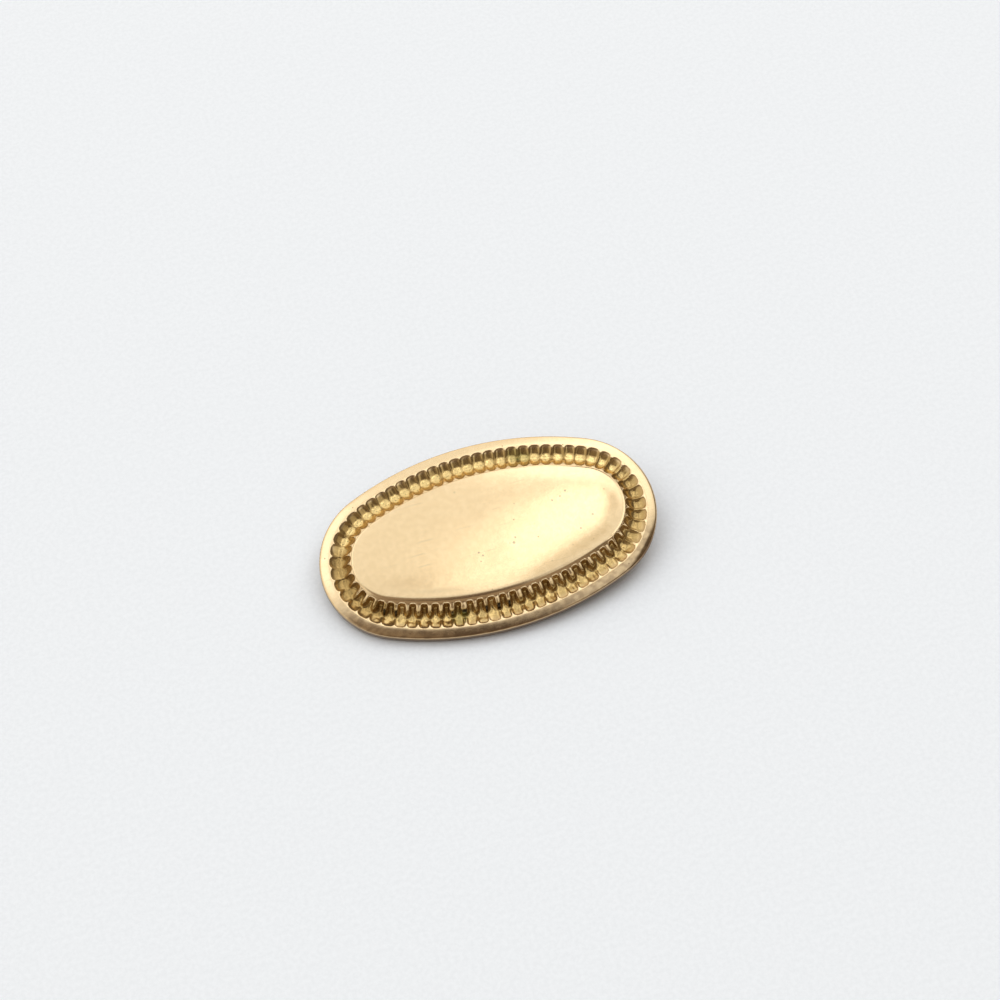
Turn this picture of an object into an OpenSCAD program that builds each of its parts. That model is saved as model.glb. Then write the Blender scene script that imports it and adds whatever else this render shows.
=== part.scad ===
// Oval brooch pin: a struck, hollow front with a fluted border, closed by a flat back plate that
// carries the pin. It lies face up, near edge down, as it comes to rest on its hinge and catch.
// Millimetres. X runs along the oval, -Y is the near edge, Z is up and z = 0 is the surface.

/* [Oval] */
// radius of the two arcs that close the oval's ends
end_r = 5.9; // [5.8:0.05:6]
// a fifth of the distance between the middle and an end arc's centre; more makes a longer oval
arc_unit = 1.36; // [1.35:0.01:1.37]

/* [Front] */
// height of the side wall from its turned lip to the rim
wall_h = 0.55; // [0.53:0.01:0.6]
// width of the plain rim, from the edge to the channel of flutes
rim_w = 0.85; // [0.83:0.01:0.87]
// radius of the arcs that close the dome's ends
dome_end_r = 3.26; // [3.2:0.02:3.3]
// height of the middle of the dome above the lip
dome_h = 1.98; // [1.95:0.01:2.05]
// thickness of the struck metal
shell_t = 0.3; // [0.28:0.01:0.3]

/* [Flutes] */
// number of flutes round the border
flute_count = 65; // [60:1:68]

/* [Back] */
// thickness of the back plate
plate_t = 0.2; // [0.15:0.01:0.2]
// distance from the middle of the oval to the hinge, and to the catch
fitting_x = 6.5; // [6:0.1:7]
// distance of the pin from the oval's long axis, towards the far edge
fitting_y = 1.8; // [1.6:0.1:2]
// thickness of the pin
pin_d = 0.7; // [0.6:0.05:0.75]

/* [Rest] */
// angle at which the far edge is lifted off the surface
rest_tilt = 9.5; // [9.3:0.1:10]
// angle at which the right end is lifted
rest_roll = 2.5; // [2:0.1:2.6]

/* [Hidden] */
$fn = 96;
fit_gap = 0.05;

// An oval of four arcs, with no corner where they meet: [radius of an end arc, distance of its
// centre from the middle, radius of a side arc, distance of its centre beyond the long axis].
// The arcs meet on the line through both centres, 5 along for 12 across.
function oval(end_arc, unit) = [end_arc, 5 * unit, end_arc + 13 * unit, 12 * unit];
rim_oval = oval(end_r, arc_unit);
dome_oval = oval(dome_end_r, arc_unit + 0.08);
half_len = rim_oval[0] + rim_oval[1];
half_wid = rim_oval[2] - rim_oval[3];
end_half_angle = atan2(12, 5);
side_angle = 180 - 2 * end_half_angle;

function to_micron(v) = round(v * 1000) / 1000;
function to_tenth(v) = round(v * 10) / 10;

// how far the section of a side arc reaches from its edge, just past the long axis
function side_reach(o) = to_tenth(o[2] - o[3] + 0.3);

// Section points are [distance in from an oval, height above the lip]. The rim and the outer half
// of the channel follow the rim's oval, the dome and the inner half follow the dome's.
lip_w = 0.6;
lip_t = 0.1;
under_z = 0.36;
rim_edge_z = wall_h + 0.25;
rim_top_z = rim_edge_z + 0.13;
web_z = rim_top_z - 0.21;
dome_edge_z = rim_top_z + 0.38;
dome_in = 0.1;
dome_run = dome_end_r - dome_in - 0.05;
dome_rise = dome_h - dome_edge_z;
dome_steps = 9;
dome_foot = -0.6;

// height of the dome's surface at a share t of the way from its edge to its flat middle
function dome_z(t) = dome_edge_z + dome_rise * pow(1 - pow(1 - t, 2), 0.6);

rim_section = [
    [lip_w, 0],
    [0.12, 0],
    [0.02, 0.08],
    [0, wall_h],
    [0.05, wall_h + 0.15],
    [0.16, rim_edge_z],
    [rim_w, rim_top_z],
    [rim_w + 0.6, web_z],
    [rim_w + 1.3, web_z],
    [rim_w + 1.3, under_z],
    [rim_w + 0.1, under_z],
    [rim_w - 0.1, under_z + 0.16],
    [shell_t, under_z + 0.1],
    [shell_t, lip_t],
    [lip_w, lip_t]
];

dome_line = [for (i = [1 : dome_steps])
    let (t = pow(i / dome_steps, 1.6))
        [to_micron(dome_in + dome_run * t), to_micron(dome_z(t))]];

// the closed section of the dome, out to a given distance from its oval
function dome_section(reach) = concat(
    [[dome_foot, under_z], [dome_foot, web_z], [dome_in, dome_edge_z]],
    dome_line,
    [
        [reach, dome_h],
        [reach, dome_h - shell_t],
        [2.4, dome_h - shell_t - 0.02],
        [1.6, dome_h - shell_t - 0.12],
        [0.95, dome_h - shell_t - 0.28],
        [0.5, dome_h - shell_t - 0.63],
        [0.32, under_z]
    ]
);

// A flute is hollowed by a ring that stands across the channel and just passes both its edges.
flute_out = rim_w - 0.1;
flute_dz = dome_edge_z - rim_top_z + 0.02;
flute_depth = 0.5;

// The flutes stand square to the rim, at equal steps along the middle of the channel. The first
// one is a share of a step past the middle of the right end.
pi = 3.14159265;
first_flute = 0.25;
flute_middle = flute_out + 0.83;
end_mid = rim_oval[0] - flute_middle;
side_mid = rim_oval[2] - flute_middle;
end_run = end_mid * 2 * end_half_angle * pi / 180;
side_run = side_mid * side_angle * pi / 180;
flute_step = 2 * (end_run + side_run) / flute_count;

// angle turned by a run along an arc of radius r
function turn(run, r) = run / r * 180 / pi;

// the centre of an arc of an oval: side 0 is the right end, 1 the far side, 2 the left, 3 the near
function arc_centre(o, side) =
    side == 0 ? [o[1], 0] : side == 1 ? [0, -o[3]] : side == 2 ? [-o[1], 0] : [0, o[3]];

// a flute at run s from the middle of the right end: [side, angle]
function flute_at(s) =
    s < end_run / 2 ? [0, turn(s, end_mid)]
    : s < end_run / 2 + side_run
        ? [1, end_half_angle + turn(s - end_run / 2, side_mid)]
    : s < end_run * 1.5 + side_run
        ? [2, 180 - end_half_angle + turn(s - end_run / 2 - side_run, end_mid)]
    : s < end_run * 1.5 + side_run * 2
        ? [3, 180 + end_half_angle + turn(s - end_run * 1.5 - side_run, side_mid)]
    : [0, -end_half_angle + turn(s - end_run * 1.5 - side_run * 2, end_mid)];

// Resting pose: the plaque is tilted about its wall's middle, then raised until the near part of
// its lip touches the surface.
wall_mid = (wall_h + 0.1) / 2;
fall_x = sin(rest_roll);
fall_y = sin(rest_tilt) * cos(rest_roll);
rest_lift = (rim_oval[2] - 0.12) * norm([fall_x, fall_y]) - fall_y * rim_oval[3]
    + wall_mid * cos(rest_tilt) * cos(rest_roll);

plate_z = lip_t + 0.02;
plate_in = shell_t + fit_gap;
pin_z = -0.55;

gold = [0.86, 0.66, 0.34];
worn_brass = [0.6, 0.47, 0.28];

module at_rest() {
    translate([0, 0, rest_lift])
        rotate([rest_tilt, -rest_roll, 0])
            translate([0, 0, -wall_mid])
                children();
}

// turns a section about one arc's centre and keeps the wedge that the arc spans
module arc_part(section, centre, r, wedge, fine) {
    intersection() {
        translate([centre[0], centre[1], 0])
            rotate_extrude($fn = fine)
                polygon([for (p = section) [r - p[0], p[1]]]);
        translate([0, 0, -1])
            linear_extrude(height = 5)
                polygon(wedge);
    }
}

// sweeps a section round an oval, with end_section on the end arcs and side_section on the sides
module round_oval(o, end_section, side_section) {
    end_far = 2;
    side_far = 3;
    for (s = [1, -1]) {
        arc_part(end_section, [s * o[1], 0], o[0], [
            [s * o[1], 0],
            [s * (o[1] + 5 * end_far), -s * 12 * end_far],
            [s * (o[1] + 5 * end_far), s * 12 * end_far]
        ], 96);
        arc_part(side_section, [0, -s * o[3]], o[2], [
            [0, -s * o[3]],
            [s * 5 * side_far, s * (12 * side_far - o[3])],
            [-s * 5 * side_far, s * (12 * side_far - o[3])]
        ], 360);
    }
}

// the ring that hollows one flute, as thick as the room between two neighbours
module flute_ring(side, angle) {
    ray = [cos(angle), sin(angle)];
    r_dome = dome_oval[side % 2 == 0 ? 0 : 2];
    r_mid = side % 2 == 0 ? end_mid : side_mid;
    r_out = r_mid + flute_middle - flute_out;
    outer = arc_centre(rim_oval, side) + r_out * ray;
    from_dome = outer - arc_centre(dome_oval, side);
    reach = from_dome * ray;
    gap = reach - sqrt(pow(reach, 2) - from_dome * from_dome + pow(r_dome, 2));
    chord = norm([gap, flute_dz]);
    sweep_r = (chord * chord / 4 + flute_depth * flute_depth) / (2 * flute_depth);
    lift = (sweep_r - flute_depth) / chord;
    r = (r_out - gap / 2) / r_mid * flute_step / 2;
    translate([outer[0], outer[1], 0])
        rotate([0, 0, angle])
            translate([
                lift * flute_dz - gap / 2,
                0,
                rim_top_z + flute_dz / 2 + lift * gap
            ])
                rotate([90, 0, 0])
                    rotate_extrude($fn = 40)
                        intersection() {
                            translate([sweep_r - r, 0])
                                circle(r = r, $fn = 24);
                            translate([0, -1])
                                square([2, 2]);
                        }
}

module front_plaque() {
    color(gold)
        at_rest()
            difference() {
                union() {
                    round_oval(rim_oval, rim_section, rim_section);
                    round_oval(
                        dome_oval,
                        dome_section(dome_oval[0]),
                        dome_section(side_reach(dome_oval))
                    );
                }
                for (i = [0 : flute_count - 1])
                    let (f = flute_at((i + first_flute) * flute_step)) flute_ring(f[0], f[1]);
            }
}

function plate_section(reach) = [
    [plate_in, plate_z], [plate_in, plate_z + plate_t],
    [reach, plate_z + plate_t], [reach, plate_z]
];

module back_plate() {
    color(worn_brass)
        difference() {
            at_rest() {
                round_oval(
                    rim_oval,
                    plate_section(rim_oval[0]),
                    plate_section(side_reach(rim_oval))
                );
                hinge();
                catch();
            }
            translate([-2 * half_len, -2 * half_wid, -6])
                cube([4 * half_len, 4 * half_wid, 6]);
        }
}

// the soldered hinge block, bored for the root of the pin
hinge_l = 1.8;
hinge_w = 2.4;
foot_drop = 3;
module hinge() {
    difference() {
        translate([fitting_x - hinge_l / 2, fitting_y - hinge_w / 2, plate_z - foot_drop])
            cube([hinge_l, hinge_w, foot_drop + plate_t / 2]);
        translate([fitting_x - hinge_l, fitting_y, pin_z])
            rotate([0, 90, 0])
                cylinder(d = pin_d + 2 * fit_gap, h = hinge_l * 1.25);
    }
}

// the soldered catch, a post with a hook that passes under the pin
catch_l = 1.2;
catch_t = 0.5;
module catch() {
    side_y = fitting_y + pin_d / 2 + 0.1;
    low = pin_z - pin_d / 2 - 0.1;
    translate([-fitting_x - catch_l / 2, side_y, plate_z - foot_drop])
        cube([catch_l, catch_t, foot_drop + plate_t / 2]);
    translate([-fitting_x - catch_l / 2, side_y - pin_d - 0.5, plate_z - foot_drop])
        cube([catch_l, pin_d + 0.6, foot_drop - plate_z + low]);
}

// the pin: a plain round wire with a drawn point
point_l = 2.4;
pin_start = fitting_x + hinge_l / 4 - 0.1;
pin_end = -fitting_x - catch_l / 2 - 0.5;
module pin_stem() {
    color(worn_brass)
        at_rest()
            translate([pin_start, fitting_y, pin_z])
                rotate([0, -90, 0]) {
                    cylinder(d = pin_d, h = pin_start - pin_end - point_l);
                    translate([0, 0, pin_start - pin_end - point_l])
                        cylinder(d1 = pin_d, d2 = 0.12, h = point_l);
                }
}

front_plaque();
back_plate();
pin_stem();
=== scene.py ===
# Oval brooch pin: a struck gold-faced front with a domed middle and a border of flutes, a flat
# back plate with its hinge block and catch, and the pin. It lies face up on pale paper.

import collections
import math
import random

import bmesh
import bpy
from mathutils import Matrix, Vector, noise


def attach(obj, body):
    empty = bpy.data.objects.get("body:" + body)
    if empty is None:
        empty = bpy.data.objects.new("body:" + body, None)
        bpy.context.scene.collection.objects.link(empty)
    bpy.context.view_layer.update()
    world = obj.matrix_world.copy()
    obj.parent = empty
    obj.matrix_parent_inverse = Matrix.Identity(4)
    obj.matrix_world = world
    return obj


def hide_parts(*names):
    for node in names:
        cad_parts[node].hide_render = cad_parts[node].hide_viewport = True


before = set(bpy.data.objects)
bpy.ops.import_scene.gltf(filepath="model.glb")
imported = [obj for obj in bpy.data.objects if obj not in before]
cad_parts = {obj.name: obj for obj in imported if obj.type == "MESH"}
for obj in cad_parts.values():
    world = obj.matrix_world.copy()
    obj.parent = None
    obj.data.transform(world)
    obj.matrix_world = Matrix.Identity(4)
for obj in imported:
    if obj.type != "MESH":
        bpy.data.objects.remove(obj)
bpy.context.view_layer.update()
mm = 0.001


# Camera: the brooch is seen from above its near edge, with its long axis rising to the right.
# The lens is worked out from the photograph's focal length and width in pixels.
camera_turn = math.radians(-16.2)
camera_rise = math.radians(60.07)
camera_reach = 165.6 * mm
camera_target = Vector((1.945, 3.748, 0)) * mm
photo_focal_px = 2200
photo_width_px = 1000
sensor_mm = 36
nearest_m = 0.01
furthest_m = 10

camera_data = bpy.data.cameras.new("camera")
camera_data.sensor_width = sensor_mm
camera_data.lens = photo_focal_px * sensor_mm / photo_width_px
camera_data.clip_start = nearest_m
camera_data.clip_end = furthest_m
camera = bpy.data.objects.new("camera", camera_data)
bpy.context.scene.collection.objects.link(camera)
towards_camera = Vector((
    math.sin(camera_turn) * math.cos(camera_rise),
    -math.cos(camera_turn) * math.cos(camera_rise),
    math.sin(camera_rise),
))
camera.location = camera_target + towards_camera * camera_reach
camera.rotation_euler = towards_camera.to_track_quat("Z", "Y").to_euler()
bpy.context.scene.camera = camera


# Front plaque: one thin sheet of brass faced with rose gold, struck in a die. It has a smooth
# dome, a channel of half-round flutes, a plain sloping rim and a wall turned under the back.
# Sizes are in millimetres, in the plaque's own frame, which stands on the turned lip.
rim_end_r = 5.9
rim_unit = 1.36
rim_w = 0.85
rim_edge_z = 0.8
rim_top_z = 0.92
wall_h = 0.55
lip_w = 0.6
lip_t = 0.1
lip_edge = 0.12
dome_end_r = 3.26
dome_unit = 1.44
dome_edge_z = 1.31
dome_h = 1.98
shoulder_w = 0.22
shoulder_rise = 0.36
flute_count = 65
flute_out = rim_w - 0.1
flute_in = 0.12
channel_half_w = 0.83
flute_middle = flute_out + channel_half_w
first_flute = 0.25
gap_guess = 1.8
gap_rounds = 6
end_columns = 235
side_columns = 350
column_count = 2 * (end_columns + side_columns)

# Both ovals have four arcs. Their centres stand on right-angled triangles of these sides.
end_leg = 5
side_leg = 12
long_leg = 13


def oval(end_arc, unit):
    """The four arcs of an oval as (centre, radius) for its right, far, left and near side."""
    side_arc = end_arc + long_leg * unit
    return (
        (Vector((end_leg * unit, 0)), end_arc),
        (Vector((0, -side_leg * unit)), side_arc),
        (Vector((-end_leg * unit, 0)), end_arc),
        (Vector((0, side_leg * unit)), side_arc),
    )


rim_oval = oval(rim_end_r, rim_unit)
dome_oval = oval(dome_end_r, dome_unit)
meet_angle = math.atan2(side_leg, end_leg)
side_angle = math.pi - 2 * meet_angle
dome_half_len = dome_oval[0][0].x + dome_end_r
dome_half_wid = dome_oval[1][1] + dome_oval[1][0].y
end_run = (rim_oval[0][1] - flute_middle) * 2 * meet_angle
side_run = (rim_oval[1][1] - flute_middle) * side_angle
flute_step = 2 * (end_run + side_run) / flute_count


def clamp(t):
    return max(0.0, min(1.0, t))


def ease(t):
    t = clamp(t)
    return t * t * (3 - 2 * t)


def ramp_up(value, start, run):
    """0 up to the start, then a smooth climb to 1 over the run."""
    return ease((value - start) / run)


def ramp_down(value, end, run):
    """1 at first, then a smooth fall over the run to 0 at the end."""
    return ease((end - value) / run)


def place_on_border(column):
    """The arc and the angle of a column, and its place round the border in flutes."""
    if column < end_columns:
        share = column / end_columns
        side, angle, run = 0, (share * 2 - 1) * meet_angle, (share - 0.5) * end_run
    elif column < end_columns + side_columns:
        share = (column - end_columns) / side_columns
        side, angle, run = 1, meet_angle + share * side_angle, end_run / 2 + share * side_run
    elif column < 2 * end_columns + side_columns:
        share = (column - end_columns - side_columns) / end_columns
        side, angle = 2, math.pi + (share * 2 - 1) * meet_angle
        run = end_run * (0.5 + share) + side_run
    else:
        share = (column - 2 * end_columns - side_columns) / side_columns
        side, angle = 3, math.pi + meet_angle + share * side_angle
        run = end_run * 1.5 + side_run * (1 + share)
    return side, angle, run / flute_step - first_flute


def dome_arc(spot):
    """The arc of the dome's oval that a point faces."""
    side = 1 if spot.y > 0 else 3
    if abs(spot.y) * end_leg < (abs(spot.x) - dome_oval[0][0].x) * side_leg:
        side = 0 if spot.x > 0 else 2
    return dome_oval[side]


def dome_inset(spot):
    """How far inside the dome's oval a point lies."""
    centre, radius = dome_arc(spot)
    return radius - (spot - centre).length


def near_side(outward):
    """How much a place on the border faces the near side."""
    return ramp_up(-outward.y, 0.2, 0.5)


def rolled_side(outward):
    """How much the dome's edge is rolled over: on the near side, but not at its right end."""
    return near_side(outward) * (1 - ramp_up(outward.x, 0.35, 0.25))


# How much a place on the border faces each side of the brooch, from 0 to 1.
Facing = collections.namedtuple("Facing", "near rolled far left right")
# A line across the channel, square to the rim: the side it is on, the way out along it, its
# point on the channel's outer edge, the gap from there in to the dome, its place round the
# border in flutes, the flutes' pitch at both of its ends, and what it faces.
Column = collections.namedtuple("Column", "side ray outer gap phase pitch_out pitch_in facing")


def across_channel(number):
    """The line across the channel at a column."""
    side, angle, phase = place_on_border(number)
    centre, radius = rim_oval[side]
    ray = Vector((math.cos(angle), math.sin(angle)))
    outer = centre + ray * (radius - flute_out)
    # The first guess at the gap is corrected until the line ends at the dome's edge.
    gap = gap_guess
    for _ in range(gap_rounds):
        gap += flute_in - dome_inset(outer - ray * gap)
    pitch_in = flute_step * (1 - (gap - flute_middle + flute_out) / (radius - flute_middle))
    pitch_out = flute_step * (radius - flute_out) / (radius - flute_middle)
    facing = Facing(
        near=near_side(ray),
        rolled=rolled_side(ray),
        far=ramp_up(ray.y, 0.3, 0.4),
        left=ramp_up(-ray.x, 0.3, 0.5),
        right=ramp_up(ray.x, 0.3, 0.5),
    )
    return Column(side, ray, outer, gap, phase, pitch_out, pitch_in, facing)


# The dome's edge is rolled over on the near side. Wear has also turned it down, ever more
# towards the right end, and sooner along the near side.
crisp_power = 2.2
roll_drop = 0.15
roll_w = 0.6
roll_start = 0.08
roll_power = 4
turned_drop = 0.11
turned_w = 1.8
turned_from = 0.12
turned_len = 10


def shoulder_height(x, y, inset, rolled):
    """The dome's edge: crisp round most of the oval, and rolled over on the near side."""
    inward = max(0.0, inset)
    sooner = 0.5 * ramp_down(y, 0, 3) * ramp_up(x, 1, 4)
    turn = 1 - (1 - ease(x / turned_len)) * (1 - sooner)
    turned = turned_drop * turn * (1 - clamp(inward / turned_w)) ** 2
    crisp = (1 - (1 - clamp(inward / shoulder_w)) ** crisp_power) * shoulder_rise
    crisp -= turned * ramp_up(inward, turned_from, 0.15)
    roll = roll_drop * (1 - clamp((inset + roll_start) / roll_w)) ** roll_power
    return crisp + (shoulder_rise - turned - roll - crisp) * rolled


# The crown is low, a little higher near its two ends, and slightly uneven in long and short
# waves. A worn crease stands up inside its edge at the near left.
end_rise = 0.04
end_rise_w = 1.3
crown_lowest = -0.02
crown_rise = dome_h - dome_edge_z - shoulder_rise - 0.03
crease_h = 0.014
long_wave_h = 0.01
short_wave_h = 0.002
calm_w = 1.5
dome_top = dome_edge_z + shoulder_height(0, 0, flute_in, 0)


def ripple(x, y, fineness, layer):
    """Smooth noise over the plaque, from about -1 to 1."""
    return noise.noise(Vector((x * fineness, y * fineness, layer)))


def dome_height(x, y):
    """The dome: a shoulder that follows the edge, a low crown and a worn crease near it."""
    spot = Vector((x, y))
    inset = dome_inset(spot)
    outward = (spot - dome_arc(spot)[0]).normalized()
    shoulder = shoulder_height(x, y, inset, rolled_side(outward))
    inset = max(0.0, inset)
    shoulder += end_rise * (x / dome_half_len) ** 2 * (1 - (1 - clamp(inset / end_rise_w)) ** 2)
    crown = crown_rise * (1 - (x / dome_half_len) ** 2 - (y / dome_half_wid) ** 2)
    crease = crease_h * ramp_up(x, -10, 3) * ramp_down(x, -1.5, 4)
    crease *= ramp_down(y, 0, 2) * ramp_up(inset, 0.6, 0.4)
    uneven = ripple(x, y, 0.45, 3.1) * long_wave_h + ripple(x, y, 1.3, 8.7) * short_wave_h
    uneven *= ease(inset / calm_w)
    return dome_edge_z + shoulder + max(crown, crown_lowest) + crease + uneven


# The flutes. Feet and ends are given as shares of the way across the channel, from the rim to
# the dome, and roundings as shares of a flute's half width.
flute_floor = 0.67
flute_depth = 0.5
flute_share = 0.9
brim_drop = 0.006
near_brim_drop = 0.002
brim_step = 0.03
dome_step = 0.1
outer_foot = 0.34
inner_foot = 0.44
near_foot_shift = 0.04
slot_short = 0.1
slot_narrow = 0.3
outer_wide = 0.06
outer_round = 0.65
inner_round = 1.15
slot_square = 0.5
edge_power = 2.3
bowl_power = 3.4
bowl_flat = 0.75
# The webs between the flutes, and the low ribs that stand for them on the near side.
web_end = 0.42
web_fall = 0.3
web_run = 0.42
web_power = 1.6
web_clear = 0.015
right_web_rise = 0.13
rib_drop = 0.08
rib_round = 0.03
# Each flute was cut by hand in the die, so its place, depth and width vary a little.
flute_rng = random.Random(7)
flute_slips = [
    (flute_rng.uniform(-0.09, 0.09), flute_rng.uniform(-0.05, 0.04), flute_rng.uniform(-0.05, 0.04))
    for _ in range(flute_count)
]


def floor_height(share, low, brim, near):
    """The bottom of a flute, which climbs towards the rim and towards the dome."""
    foot = inner_foot + near_foot_shift * near
    if share < outer_foot:
        return low + (brim - brim_step - low) * (1 - share / outer_foot) ** 1.1
    if share > foot:
        return low + (dome_top - dome_step - low) * ((share - foot) / (1 - foot)) ** 2.3
    return low


def web_height(spot, share, low, brim, floor, inner_end, facing):
    """The metal between two flutes: a web that climbs evenly to the dome or, on the near side, a
    low rib that ends under the dome's plain, steep edge."""
    climb = low + (dome_top - low) * (1 - min(1.0, (1 - share) / web_run) ** web_power)
    rib = dome_height(spot.x, spot.y) - rib_drop * ramp_down(share, inner_end, 0.3)
    rib = low + (rib - low) * ramp_up(share, inner_foot, 0.1)
    return max(
        low + web_clear + right_web_rise * facing.right,
        low + (brim - low) * min(1.0, (web_end - share) / web_fall),
        climb + (rib - climb) * facing.rolled,
        floor + web_clear,
    )


# How thick the dirt and the painted shade are at their thickest, from 0 for clean metal to 1 for
# black: everywhere, then by number for the pockets after some flutes, and for the flutes that are
# filled with it. The amounts for everywhere, the near pockets, the flutes' ends and edges, and the
# webs are partly dirt and partly painted shade; the pockets by number and the filled flutes are
# dirt.
settled_dirt_and_shade = 0.38
near_pocket_dirt_and_shade = 0.72
end_dirt_and_shade = 0.55
ring_dirt_and_shade = 0.75
web_dirt = 0.35
pocket_dirt = {10: 0.6, 11: 0.9, 12: 0.8, 13: 0.5, 36: 0.8, 37: 1.0, 38: 1.0, 43: 0.9, 44: 1.0}
pocket_dirt.update({46: 1.0, 47: 1.0, 48: 1.0, 51: 0.6, 56: 0.8, 57: 0.7, 58: 0.8})
clotted = {36: 0.5, 37: 0.72, 38: 0.6}


def lying_dirt_and_shade(share, across, phase, inner_end, middle, facing):
    """The dirt in the pockets and the filled flutes, and settled dirt with painted shade over it.
    """
    black = pocket_dirt.get(math.floor(phase) % flute_count, 0) * min(1.0, middle * 1.6)
    # Partly dirt, partly painted shade: every pocket on the near side is darkened.
    near_pocket = near_pocket_dirt_and_shade * facing.near * min(1.0, middle * 1.5)
    pocket = ramp_up(across, 0.5, 0.5) * max(black, near_pocket)
    clot = clotted.get(math.floor(phase + 0.5) % flute_count, 0)
    clot *= ramp_up(share, 0.3, 0.15) * ramp_down(share, inner_end, 0.1)
    # Settled dirt with painted shade: none on the far side, more at the ends, less inside on the
    # near side.
    settled_and_shade = (settled_dirt_and_shade + 0.2 * facing.left + 0.12 * facing.right) * (1 - facing.far)
    settled_and_shade *= ramp_down(share, 0.95, 0.3) * (1 - 0.6 * facing.near * ramp_up(share, 0.55, 0.12))
    # Painted shade with dirt: the outer ends of the flutes darken on the far side and at the left
    # end.
    outer = (end_dirt_and_shade * facing.far + 0.25 * facing.left) * ramp_down(share, 0.42, 0.12)
    outer *= ramp_up(share, 0.06, 0.08)
    return max(pocket, clot, settled_and_shade, outer)


def channel_height(spot, share, gap, phase, pitch, facing):
    """Height at a share of the way from rim to dome, and the dirt and painted shade there."""
    near = facing.near
    number = math.floor(phase + 0.5)
    slip, deeper, wider = flute_slips[number % flute_count]
    low = flute_floor + deeper
    brim = rim_top_z - brim_drop - near_brim_drop * near
    inner_end = 1 - slot_short * facing.rolled
    floor = floor_height(share, low, brim, near)
    web = web_height(spot, share, low, brim, floor, inner_end, facing)
    half = (flute_share / 2 + wider) * pitch
    half *= 1 - slot_narrow * facing.rolled * ramp_up(share, 0.5, 0.15)
    half *= 1 + outer_wide * (1 - facing.far) * ramp_down(share, 0.4, 0.2)
    across = abs(phase - number - slip * math.sin(math.pi * share)) * pitch / half
    ends = max(
        0.0,
        1 - share * gap / (half * outer_round),
        1 - (inner_end - share) * gap / (half * (inner_round - slot_square * facing.rolled)),
    )
    edge = (across ** edge_power + ends ** edge_power) ** (1 / edge_power)
    middle = max(0.0, 1 - abs(share - 0.52) / 0.16)
    dirt_and_shade = lying_dirt_and_shade(share, across, phase, inner_end, middle, facing)
    if edge >= 1:
        off_rib = min(1.0, abs(abs(phase - number) - 0.5) / 0.2)
        rounding = ramp_up(share, 0.5, 0.1) * ramp_down(share, inner_end, 0.05)
        web -= rib_round * near * rounding * off_rib ** 2
        # Dirt on the webs, with painted shade that darkens them more on the far side.
        web_dirt_and_shade = (web_dirt + 0.25 * facing.far + 0.08 * near) * ramp_up(share, 0.08, 0.1)
        web_dirt_and_shade *= ramp_down(share, 0.85 + 0.1 * near, 0.3)
        worn = (1 - facing.far) * ease((web - low) / (brim - low) * 2 - 1)
        return web, max(dirt_and_shade, web_dirt_and_shade) * (1 - worn * ramp_down(share, 0.45, 0.1))
    bowl = 1 - (1 - edge ** bowl_power) ** bowl_flat
    # Painted shade with some grime: the flutes darken towards their edges and ends.
    ring = ring_dirt_and_shade * edge ** 2.5 * (1 - 0.5 * middle)
    # Painted shade with dirt: the inner ends of the flutes darken, less on the near side.
    inner = (end_dirt_and_shade - near * (0.07 + 3.5 * deeper)) * ramp_up(share, 0.66 - 0.14 * near, 0.16)
    inner *= 1 - ramp_up(share, 0.95, 0.05)
    return floor + (web - floor) * bowl, max(dirt_and_shade, ring, inner)


# One row for each line of the section, as (kind, place, height): "rim" and "dome" rows lie at a
# distance in from their oval, "channel" rows at a share across, and "crown" rows at a share of
# the way from the dome's shoulder to its middle. Rows without a height take it from the
# functions above.
crown_edge = 2.2
slope_start = 0.16
slope_rise = 0.25
slope_bow = 0.075
# The channel's rows stand closer together at its two edges.
channel_rows = 27
crowding = 0.1
# The underside, from its middle out to the wall.
section = [("crown", share, 1.62) for share in (1, 0.66, 0.33, 0)]
section += [("dome", 1.6, 1.56), ("dome", 0.95, 1.4), ("dome", 0.5, 1.05), ("dome", 0.32, 0.36)]
section += [("rim", 0.95, 0.36), ("rim", 0.75, 0.52), ("rim", 0.3, 0.46), ("rim", 0.3, lip_t)]
# The lip that is turned under the back plate, the wall and the rounded outer edge.
section += [("rim", lip_w, lip_t), ("rim", lip_w, 0.0), ("rim", 0.2, 0.0), ("rim", 0.08, 0.02)]
section += [("rim", 0.015, 0.08), ("rim", 0.0, 0.2), ("rim", 0.0, 0.4), ("rim", 0.0, wall_h)]
section += [("rim", 0.006, 0.64), ("rim", 0.022, 0.7), ("rim", 0.055, 0.75), ("rim", 0.1, 0.78)]
# The rim's slope, the channel and the dome.
for place in (slope_start, 0.3, 0.45, 0.58, 0.7):
    run = place - slope_start
    section += [("rim", place, rim_edge_z + run * (slope_rise - slope_bow * run))]
section += [("rim", 0.73, 0.916)]
for row in range(channel_rows + 1):
    share = row / channel_rows - crowding * math.sin(2 * math.pi * row / channel_rows)
    section += [("channel", share, None)]
section += [
    ("dome", place, None)
    for place in (0.14, 0.17, 0.2, 0.24, 0.29, 0.36, 0.46, 0.6, 0.76, 0.94, 1.15, 1.4, 1.75)
]
section += [
    ("crown", share, None)
    for share in (0, 0.14, 0.28, 0.42, 0.56, 0.69, 0.8, 0.89, 0.95, 0.985, 1)
]

# The right end of the rim has been bent down a little, towards the near side.
bend_deg = -45
bend_run_deg = 32
bend_drop = 0.1
bend_w = 0.42
# The wall is painted brown up to this height, partly tarnish and partly painted shade, and the
# near side of the rim is painted darker, partly stain and partly painted shade.
brown_top = 0.76
brown_fade = 0.1
least_stain_and_shade = 0.3
more_stain_and_shade = 0.32
# The channel is dented, deeper on the near side, and not quite smooth.
dent_depth = 0.016
rough_depth = 0.006


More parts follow.
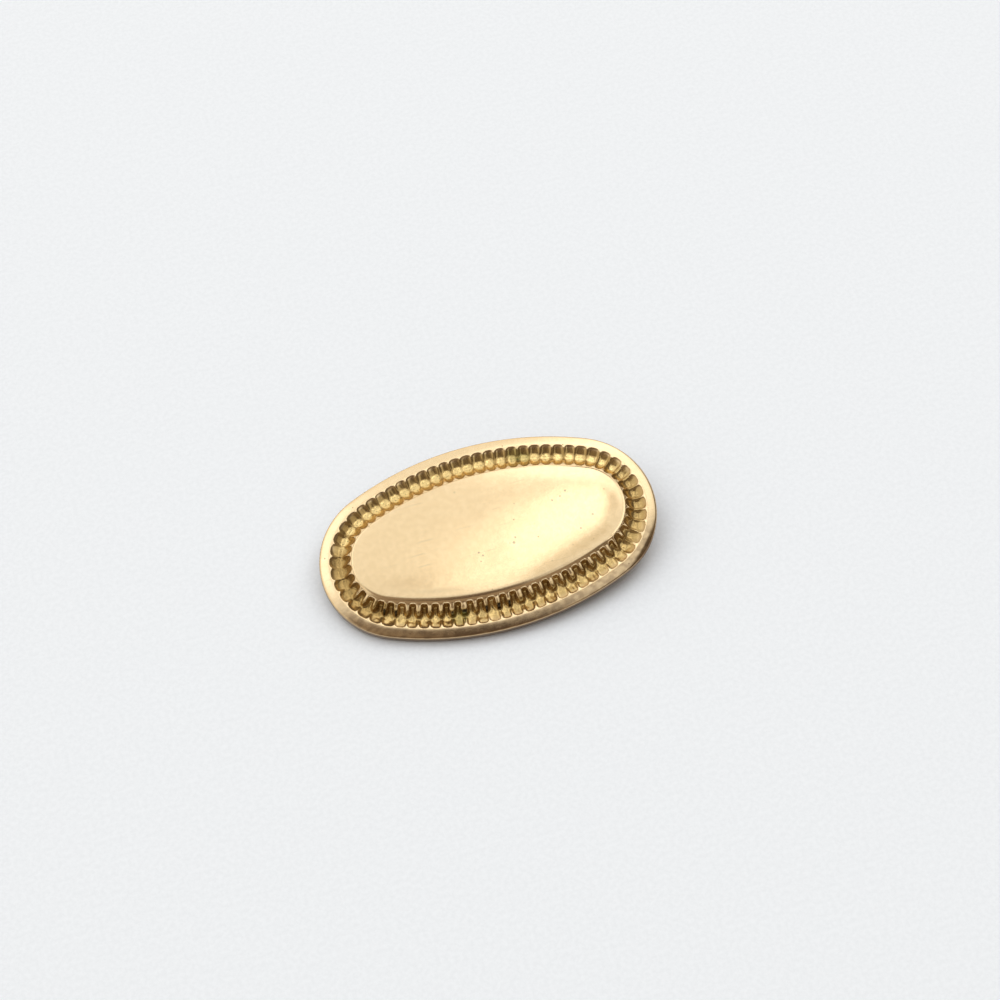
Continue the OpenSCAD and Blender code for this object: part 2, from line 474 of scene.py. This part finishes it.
def on_rim(column, place, height):
    """A point of the rim or the wall, its height and how brown it is."""
    spot = column.outer + column.ray * (flute_out - place)
    if column.side == 0 and height > wall_h:
        turn = math.degrees(math.atan2(column.ray.y, column.ray.x))
        bent = ease(1 - abs(turn - bend_deg) / bend_run_deg) * ease(1 - place / bend_w)
        height -= bend_drop * bent
    stain = noise.noise(Vector((spot.x * 2.2, spot.y * 4.5, 4.4)))
    # Painted shade with stain: the near side of the rim is darkened in noisy patches.
    stain_and_shade = least_stain_and_shade + more_stain_and_shade * ease(0.5 + 1.3 * stain)
    stain_and_shade *= column.facing.near * ramp_down(place, 0.78, 0.1)
    # The wall is painted brown below brown_top: partly tarnish, partly painted shade.
    return spot, height, max(clamp((brown_top - height) / brown_fade), stain_and_shade)


def in_channel(column, share):
    """A point of the channel, its height, how deep it lies, and its dirt and painted shade."""
    spot = column.outer - column.ray * column.gap * share
    pitch = column.pitch_out + (column.pitch_in - column.pitch_out) * share
    height, grime_and_shade = channel_height(spot, share, column.gap, column.phase, pitch, column.facing)
    dent = ripple(spot.x, spot.y, 2.6, 1.7) * dent_depth * (1 + column.facing.near)
    dent += ripple(spot.x, spot.y, 6.5, 5.2) * rough_depth
    height += dent * min(1.0, 4 * share, 4 * (1 - share))
    level = rim_top_z + (dome_edge_z - rim_top_z) * share
    return spot, height, clamp((level - height) / flute_depth), grime_and_shade


def on_dome(column, kind, place):
    """A point of the dome, at its distance in from the edge or its share of the way in."""
    inner = column.outer - column.ray * column.gap
    centre, radius = dome_arc(inner)
    inset = crown_edge if kind == "crown" else place
    spot = centre + (inner - centre).normalized() * (radius - inset)
    return spot * (1 - place) if kind == "crown" else spot


# A flat sheet with one row of points for each line of the section is wrapped round the border
# and pressed to the section's heights, as the die presses the metal.
plaque = bmesh.new()
bmesh.ops.create_grid(plaque, x_segments=column_count, y_segments=len(section) - 1, size=0.5)
depth_layer = plaque.verts.layers.float.new("depth")
# The grime layer holds dirt and painted shade in the flutes; the wall layer holds tarnish and
# painted shade on the wall and the near rim.
grime_and_shade_layer = plaque.verts.layers.float.new("grime_and_shade")
wall_layer = plaque.verts.layers.float.new("wall")
place_layer = plaque.verts.layers.float_vector.new("place")
columns = [across_channel(number) for number in range(column_count)]


def press(point):
    """Moves a point of the flat sheet to its place on the plaque and notes how it looks there."""
    column = columns[round((point.co.x + 0.5) * column_count) % column_count]
    kind, place, height = section[round((point.co.y + 0.5) * (len(section) - 1))]
    depth = grime_and_shade = wall = 0.0
    if kind == "rim":
        spot, height, wall = on_rim(column, place, height)
    elif kind == "channel":
        spot, height, depth, grime_and_shade = in_channel(column, place)
    else:
        spot = on_dome(column, kind, place)
        height = height or dome_height(spot.x, spot.y)
    point[depth_layer] = depth
    point[grime_and_shade_layer] = grime_and_shade
    point[wall_layer] = wall
    point[place_layer] = Vector((spot.x, spot.y, height))
    point.co = Vector((spot.x, spot.y, height))


for point in plaque.verts:
    press(point)
bmesh.ops.remove_doubles(plaque, verts=plaque.verts, dist=1e-5)
bmesh.ops.recalc_face_normals(plaque, faces=plaque.faces)
for face in plaque.faces:
    face.smooth = True

# At rest the plaque leans on its near edge, with the hinge and the catch under its far side.
rest_tilt = math.radians(9.5)
rest_roll = math.radians(2.5)
wall_mid = (wall_h + lip_t) / 2
fall = (math.sin(rest_roll), math.sin(rest_tilt) * math.cos(rest_roll))
rest_lift = (
    (rim_oval[1][1] - lip_edge) * math.hypot(*fall)
    + fall[1] * rim_oval[1][0].y
    + wall_mid * math.cos(rest_tilt) * math.cos(rest_roll)
)
at_rest = (
    Matrix.Scale(mm, 4)
    @ Matrix.Translation((0, 0, rest_lift))
    @ Matrix.Rotation(-rest_roll, 4, "Y")
    @ Matrix.Rotation(rest_tilt, 4, "X")
    @ Matrix.Translation((0, 0, -wall_mid))
)
bmesh.ops.transform(plaque, matrix=at_rest, verts=plaque.verts)
plaque_mesh = bpy.data.meshes.new("struck_front")
plaque.to_mesh(plaque_mesh)
plaque.free()
struck_front = bpy.data.objects.new("struck_front", plaque_mesh)
bpy.context.scene.collection.objects.link(struck_front)
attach(struck_front, "root")
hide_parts("front_plaque")


def new_material(name, metallic=0):
    """A material, its node tree and its shader."""
    material = bpy.data.materials.new(name)
    material.use_nodes = True
    shader = material.node_tree.nodes["Principled BSDF"]
    shader.inputs["Metallic"].default_value = metallic
    return material, material.node_tree, shader


def plug(tree, socket, value):
    """Gives a socket its value, or links the socket that is given to it."""
    if isinstance(value, bpy.types.NodeSocket):
        tree.links.new(value, socket)
    else:
        socket.default_value = value


def node_of(tree, kind, **settings):
    """A new shader node; names that are sockets give the socket's value or link."""
    node = tree.nodes.new("ShaderNode" + kind)
    for name, value in settings.items():
        if name in node.inputs:
            plug(tree, node.inputs[name], value)
        else:
            setattr(node, name, value)
    return node


def mixed(tree, amount, low, high):
    """A colour mix whose ends are colours or sockets."""
    mix = node_of(tree, "Mix", data_type="RGBA")
    for socket, value in ((mix.inputs[0], amount), (mix.inputs[6], low), (mix.inputs[7], high)):
        plug(tree, socket, value)
    return mix.outputs[2]


def combined(tree, kind, first, second):
    """Two values put together by a sum, a product or a comparison."""
    node = node_of(tree, "Math", operation=kind)
    plug(tree, node.inputs[0], first)
    plug(tree, node.inputs[1], second)
    return node.outputs[0]


def spread(tree, value, from_min, from_max, to_min=0.0, to_max=1.0):
    """A value moved smoothly from one range to another."""
    node = node_of(tree, "MapRange", interpolation_type="SMOOTHSTEP", Value=value)
    node.inputs["From Min"].default_value = from_min
    node.inputs["From Max"].default_value = from_max
    node.inputs["To Min"].default_value = to_min
    node.inputs["To Max"].default_value = to_max
    return node.outputs["Result"]


def cloudy(tree, place, scale, detail, roughness=0.5):
    """Smooth noise over a piece, from 0 to 1."""
    clouds = node_of(
        tree, "TexNoise", Vector=place, Scale=scale, Detail=detail, Roughness=roughness
    )
    return clouds.outputs["Fac"]


# Wear that all the metal shares: fine satin grain, small pits and a few hairline scratches.
mark_brown = (0.22, 0.14, 0.07, 1)
worn_metal = bpy.data.node_groups.new("worn_metal", "ShaderNodeTree")
worn_metal.interface.new_socket("Color", in_out="INPUT", socket_type="NodeSocketColor")
worn_metal.interface.new_socket("Place", in_out="INPUT", socket_type="NodeSocketVector")
worn_metal.interface.new_socket("Color", in_out="OUTPUT", socket_type="NodeSocketColor")
worn_metal.interface.new_socket("Height", in_out="OUTPUT", socket_type="NodeSocketFloat")
given = worn_metal.nodes.new("NodeGroupInput")
result = worn_metal.nodes.new("NodeGroupOutput")
given_place = given.outputs["Place"]


def scratches(turn_deg, shift, finest):
    """Hairlines along one direction, where stretched noise rises above a height."""
    stretched = node_of(
        worn_metal, "Mapping", Vector=given_place, Rotation=(0, 0, math.radians(turn_deg)),
        Location=(shift, 2 * shift, 0), Scale=(0.3, finest, 0.3),
    )
    streaks = cloudy(worn_metal, stretched.outputs["Vector"], scale=1.0, detail=1.0)
    return spread(worn_metal, streaks, 0.72, 0.77)


pit_strength = 0.7
hairline_strength = 0.13
grain = cloudy(worn_metal, given_place, scale=7.0, detail=3.0, roughness=0.6)
pit_cells = node_of(worn_metal, "TexVoronoi", Vector=given_place, Scale=0.9)
pits = spread(worn_metal, pit_cells.outputs["Distance"], 0.03, 0.06, pit_strength, 0.0)
rising = scratches(turn_deg=24, shift=3.0, finest=9.0)
falling = scratches(turn_deg=-52, shift=8.0, finest=7.0)
hairlines = combined(worn_metal, "MAXIMUM", rising, falling)
hairlines = combined(worn_metal, "MULTIPLY", hairlines, hairline_strength)
marks = combined(worn_metal, "MAXIMUM", pits, hairlines)
marked = mixed(worn_metal, marks, given.outputs["Color"], mark_brown)
plug(worn_metal, result.inputs["Color"], marked)
plug(worn_metal, result.inputs["Height"], combined(worn_metal, "SUBTRACT", grain, marks))


def wear_over(tree, colour, place, depth):
    """Puts the shared wear over a colour and gives it to the material's shader."""
    shader = tree.nodes["Principled BSDF"]
    wear = node_of(tree, "Group", node_tree=worn_metal)
    plug(tree, wear.inputs["Color"], colour)
    plug(tree, wear.inputs["Place"], place)
    bump = node_of(tree, "Bump", Distance=depth, Height=wear.outputs["Height"])
    plug(tree, shader.inputs["Normal"], bump.outputs["Normal"])
    plug(tree, shader.inputs["Base Color"], wear.outputs["Color"])


# Rose gold in two shades, and yellower in the flutes, where brown grime, painted brown shade and
# black dirt lie over it. The wall and the near side of the rim are painted brown: tarnish with
# painted shade.
deep_gold = (0.93, 0.70, 0.40, 1)
bright_gold = (0.97, 0.745, 0.44, 1)
flute_gold = (0.90, 0.66, 0.28, 1)
brown_grime_and_shade = (0.38, 0.24, 0.075, 1)
dark_grit = (0.10, 0.055, 0.015, 1)
black_dirt = (0.045, 0.03, 0.012, 1)
brown_tarnish_and_shade = (0.26, 0.17, 0.10, 1)
nick_colour = (0.12, 0.13, 0.12, 1)
green_rust = (0.27, 0.25, 0.06, 1)
gold_face, tree, shader = new_material("gold_face", metallic=1)
face_place = node_of(tree, "Attribute", attribute_name="place").outputs["Vector"]
depth = node_of(tree, "Attribute", attribute_name="depth").outputs["Fac"]
grime_and_shade = node_of(tree, "Attribute", attribute_name="grime_and_shade").outputs["Fac"]
wall = node_of(tree, "Attribute", attribute_name="wall").outputs["Fac"]
blotch = cloudy(tree, face_place, scale=2.2, detail=4.0, roughness=0.6)
grit = cloudy(tree, face_place, scale=9.0, detail=5.0, roughness=0.7)
colour = mixed(tree, spread(tree, blotch, 0.35, 0.7), deep_gold, bright_gold)
colour = mixed(tree, spread(tree, depth, 0.1, 0.6), colour, flute_gold)
# Brown grime and painted shade in the flutes.
colour = mixed(tree, spread(tree, grime_and_shade, 0.05, 0.75), colour, brown_grime_and_shade)
gritty = combined(tree, "MULTIPLY", spread(tree, depth, 0.35, 1.0), spread(tree, grit, 0.5, 0.7))
colour = mixed(tree, gritty, colour, dark_grit)
colour = mixed(tree, spread(tree, grime_and_shade, 0.76, 0.95), colour, black_dirt)
# Brown tarnish and painted shade on the wall and the near side of the rim.
colour = mixed(tree, wall, colour, brown_tarnish_and_shade)


def spotted(colour, spot, radius, fade, strength, spot_colour):
    """A round spot with a soft edge, painted over a colour of the gold face."""
    away = node_of(tree, "VectorMath", operation="DISTANCE", Vector=face_place)
    away.inputs[1].default_value = spot
    inside = spread(tree, away.outputs["Value"], radius, radius + fade, strength, 0.0)
    return mixed(tree, inside, colour, spot_colour)


# Small dark nicks where something hard has struck the dome, as (x, y, radius).
nicks = (
    (6.52, -1.67, 0.05), (7.67, -0.87, 0.06), (6.26, 1.45, 0.05), (5.12, 0.97, 0.05),
    (1.7, -1.04, 0.05), (1.5, -1.4, 0.08), (-1.18, -1.43, 0.05), (-0.95, -1.72, 0.05),
)
nick_fade = 0.05
nick_strength = 0.5
for x, y, radius in nicks:
    struck = (x, y, dome_height(x, y))
    colour = spotted(colour, struck, radius, nick_fade, nick_strength, nick_colour)
# Green spots where the brass under the gold has begun to corrode, as (x, y, radius).
green_spots = ((3.6, 5.6, 0.35), (4.3, 5.2, 0.3), (-3.8, -5.4, 0.4), (-3.3, -5.1, 0.25))
green_z = flute_floor + 0.1
green_strength = 0.4
for x, y, radius in green_spots:
    colour = spotted(colour, (x, y, green_z), radius, radius, green_strength, green_rust)
wear_over(tree, colour, face_place, depth=1.8e-6)
metallic = spread(tree, grime_and_shade, 0.05, 0.75, to_min=1.0, to_max=0.8)
roughness = spread(tree, grit, 0.3, 0.7, to_min=0.13, to_max=0.19)
plug(tree, shader.inputs["Metallic"], metallic)
plug(tree, shader.inputs["Roughness"], roughness)
struck_front.data.materials.append(gold_face)


# Back plate: a flat brass sheet with the hinge block and the catch soldered on, sprung into the
# turned edge of the front. Brown patches have grown on it.
bare_brass = (0.66, 0.47, 0.22, 1)
brown_patch = (0.34, 0.21, 0.09, 1)


def place_in_mm(tree):
    """A place on a piece that has no attributes of its own, in millimetres."""
    own_place = tree.nodes.new("ShaderNodeTexCoord").outputs["Object"]
    return node_of(
        tree, "VectorMath", operation="SCALE", Vector=own_place, Scale=1 / mm
    ).outputs["Vector"]


back_brass, tree, shader = new_material("back_brass", metallic=1)
place = place_in_mm(tree)
brown = cloudy(tree, place, scale=0.45, detail=5.0, roughness=0.65)
colour = mixed(tree, spread(tree, brown, 0.45, 0.68), bare_brass, brown_patch)
wear_over(tree, colour, place, depth=4e-6)
roughness = spread(tree, brown, 0.4, 0.7, to_min=0.28, to_max=0.5)
plug(tree, shader.inputs["Roughness"], roughness)
back_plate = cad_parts["back_plate"]
back_plate.data.materials.clear()
back_plate.data.materials.append(back_brass)


# Pin: drawn brass wire, filed to a point, from the hinge block to the hook of the catch. The
# drawing has left fine lines along it.
bright_wire = (0.70, 0.53, 0.29, 1)
dull_wire = (0.52, 0.37, 0.18, 1)
pin_wire, tree, shader = new_material("pin_wire", metallic=1)
place = place_in_mm(tree)
drawn = node_of(tree, "Mapping", Vector=place, Scale=(0.25, 14.0, 14.0)).outputs["Vector"]
lines = cloudy(tree, drawn, scale=1.0, detail=2.0)
colour = mixed(tree, spread(tree, lines, 0.35, 0.7), bright_wire, dull_wire)
wear_over(tree, colour, place, depth=3e-6)
roughness = spread(tree, lines, 0.3, 0.7, to_min=0.22, to_max=0.34)
plug(tree, shader.inputs["Roughness"], roughness)
pin_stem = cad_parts["pin_stem"]
pin_stem.data.materials.clear()
pin_stem.data.materials.append(pin_wire)


# Paper: the pale, plain sheet that the brooch lies loose on. It is matt, with a fine grain of
# fibres.
paper_reach = 1.2
paper_dim = (0.827, 0.867, 0.902, 1)
paper_bright = (0.873, 0.913, 0.948, 1)
floor = bmesh.new()
bmesh.ops.create_grid(floor, x_segments=1, y_segments=1, size=paper_reach)
floor_mesh = bpy.data.meshes.new("paper")
floor.to_mesh(floor_mesh)
floor.free()
paper = bpy.data.objects.new("paper", floor_mesh)
bpy.context.scene.collection.objects.link(paper)
pale_paper, tree, shader = new_material("pale_paper")
place = tree.nodes.new("ShaderNodeTexCoord").outputs["Object"]
fibres = cloudy(tree, place, scale=3200.0, detail=3.0, roughness=0.7)
colour = mixed(tree, spread(tree, fibres, 0.3, 0.7), paper_dim, paper_bright)
plug(tree, shader.inputs["Base Color"], colour)
shader.inputs["Roughness"].default_value = 0.85
shader.inputs["Specular IOR Level"].default_value = 0.2
paper.data.materials.append(pale_paper)


# Light: a soft room, bright overhead, behind and at both ends, and dim towards the camera. The
# gold mirrors it, so the room has soft patches of light and dark. Two lamps add light that
# the gold doesn't mirror.
dark_side = (0.15, 0.12, 0.095, 1)
bright_side = (1.0, 0.95, 0.88, 1)
low_light = (0.36, 0.3, 0.24, 1)
ceiling = (0.93, 0.93, 0.93, 1)
world = bpy.data.worlds.new("room")
bpy.context.scene.world = world
world.use_nodes = True
tree = world.node_tree
background = tree.nodes["Background"]
direction = tree.nodes.new("ShaderNodeTexCoord").outputs["Generated"]


def seen_along(way):
    """How far a direction of the room points along a way."""
    node = node_of(tree, "VectorMath", operation="DOT_PRODUCT", Vector=direction)
    node.inputs[1].default_value = way
    return node.outputs["Value"]


up = seen_along((0, 0, 1))
room = mixed(tree, spread(tree, seen_along((-0.6, 0.8, 0)), -0.45, 0.55), dark_side, bright_side)
room = mixed(tree, spread(tree, up, 0.0, 0.42), low_light, room)
room = mixed(tree, spread(tree, up, 0.64, 0.84), room, ceiling)
# Each round patch lies over the ones before it: the way to its middle, the angles from there at
# which it begins to fade and ends, and its light.
room_patches = (
    ((-0.05, 0.48, 0.88), 3, 22, (0.95, 0.95, 0.95, 1)),
    ((-0.42, 0.25, 0.87), 3, 14, (1.45, 1.45, 1.5, 1)),
    ((-0.3, 0.47, 0.83), 3, 15, (1.45, 1.45, 1.5, 1)),
    ((0.4, 0.3, 0.87), 4, 18, (1.38, 1.38, 1.4, 1)),
    ((0.38, 0.55, 0.74), 3, 14, (1.6, 1.6, 1.65, 1)),
    ((0.2, 0.43, 0.88), 0, 10, (1.7, 1.7, 1.75, 1)),
    ((0.085, 0.11, 0.99), 0, 8, (1.14, 1.14, 1.14, 1)),
    ((-0.045, 0.02, 0.998), 0.5, 4, (0.66, 0.6, 0.54, 1)),
    ((0.07, -0.02, 0.997), 1, 6, (1.6, 1.6, 1.6, 1)),
    ((0.125, 0.085, 0.988), 0, 5.5, (1.85, 1.85, 1.85, 1)),
    ((0.17, 0.18, 0.97), 0, 6, (1.9, 1.9, 1.9, 1)),
    ((0.31, 0.14, 0.94), 1.5, 7, (0.78, 0.74, 0.69, 1)),
    ((0.2, -0.1, 0.975), 1.5, 6, (0.74, 0.69, 0.61, 1)),
    ((-0.2, -0.9, 0.35), 25, 48, (0.3, 0.24, 0.19, 1)),
    ((-0.12, -0.479, 0.867), 13, 22.5, (0.125, 0.09, 0.07, 1)),
    ((-0.33, -0.33, 0.88), 9, 18, (0.3, 0.24, 0.19, 1)),
)
for way, fade_deg, end_deg, light in room_patches:
    seen = seen_along(Vector(way).normalized())
    fades = (math.cos(math.radians(end_deg)), math.cos(math.radians(fade_deg)))
    room = mixed(tree, spread(tree, seen, *fades), room, light)
plug(tree, background.inputs["Color"], room)
background.inputs["Strength"].default_value = 1.0


def soft_light(name, towards, reach, size, power):
    """A square area light that faces the brooch and doesn't mirror in it."""
    data = bpy.data.lights.new(name, "AREA")
    data.size = size
    data.energy = power
    lamp = bpy.data.objects.new(name, data)
    bpy.context.scene.collection.objects.link(lamp)
    away = Vector(towards).normalized()
    lamp.location = away * reach
    lamp.rotation_euler = away.to_track_quat("Z", "Y").to_euler()
    lamp.visible_glossy = False


soft_light("window", towards=(-0.35, 0.35, 0.85), reach=1.0, size=1.2, power=3.4)
soft_light("lamp", towards=(0.7, 0.45, 0.65), reach=1.0, size=0.5, power=1.6)

bpy.context.scene.view_settings.view_transform = "Standard"
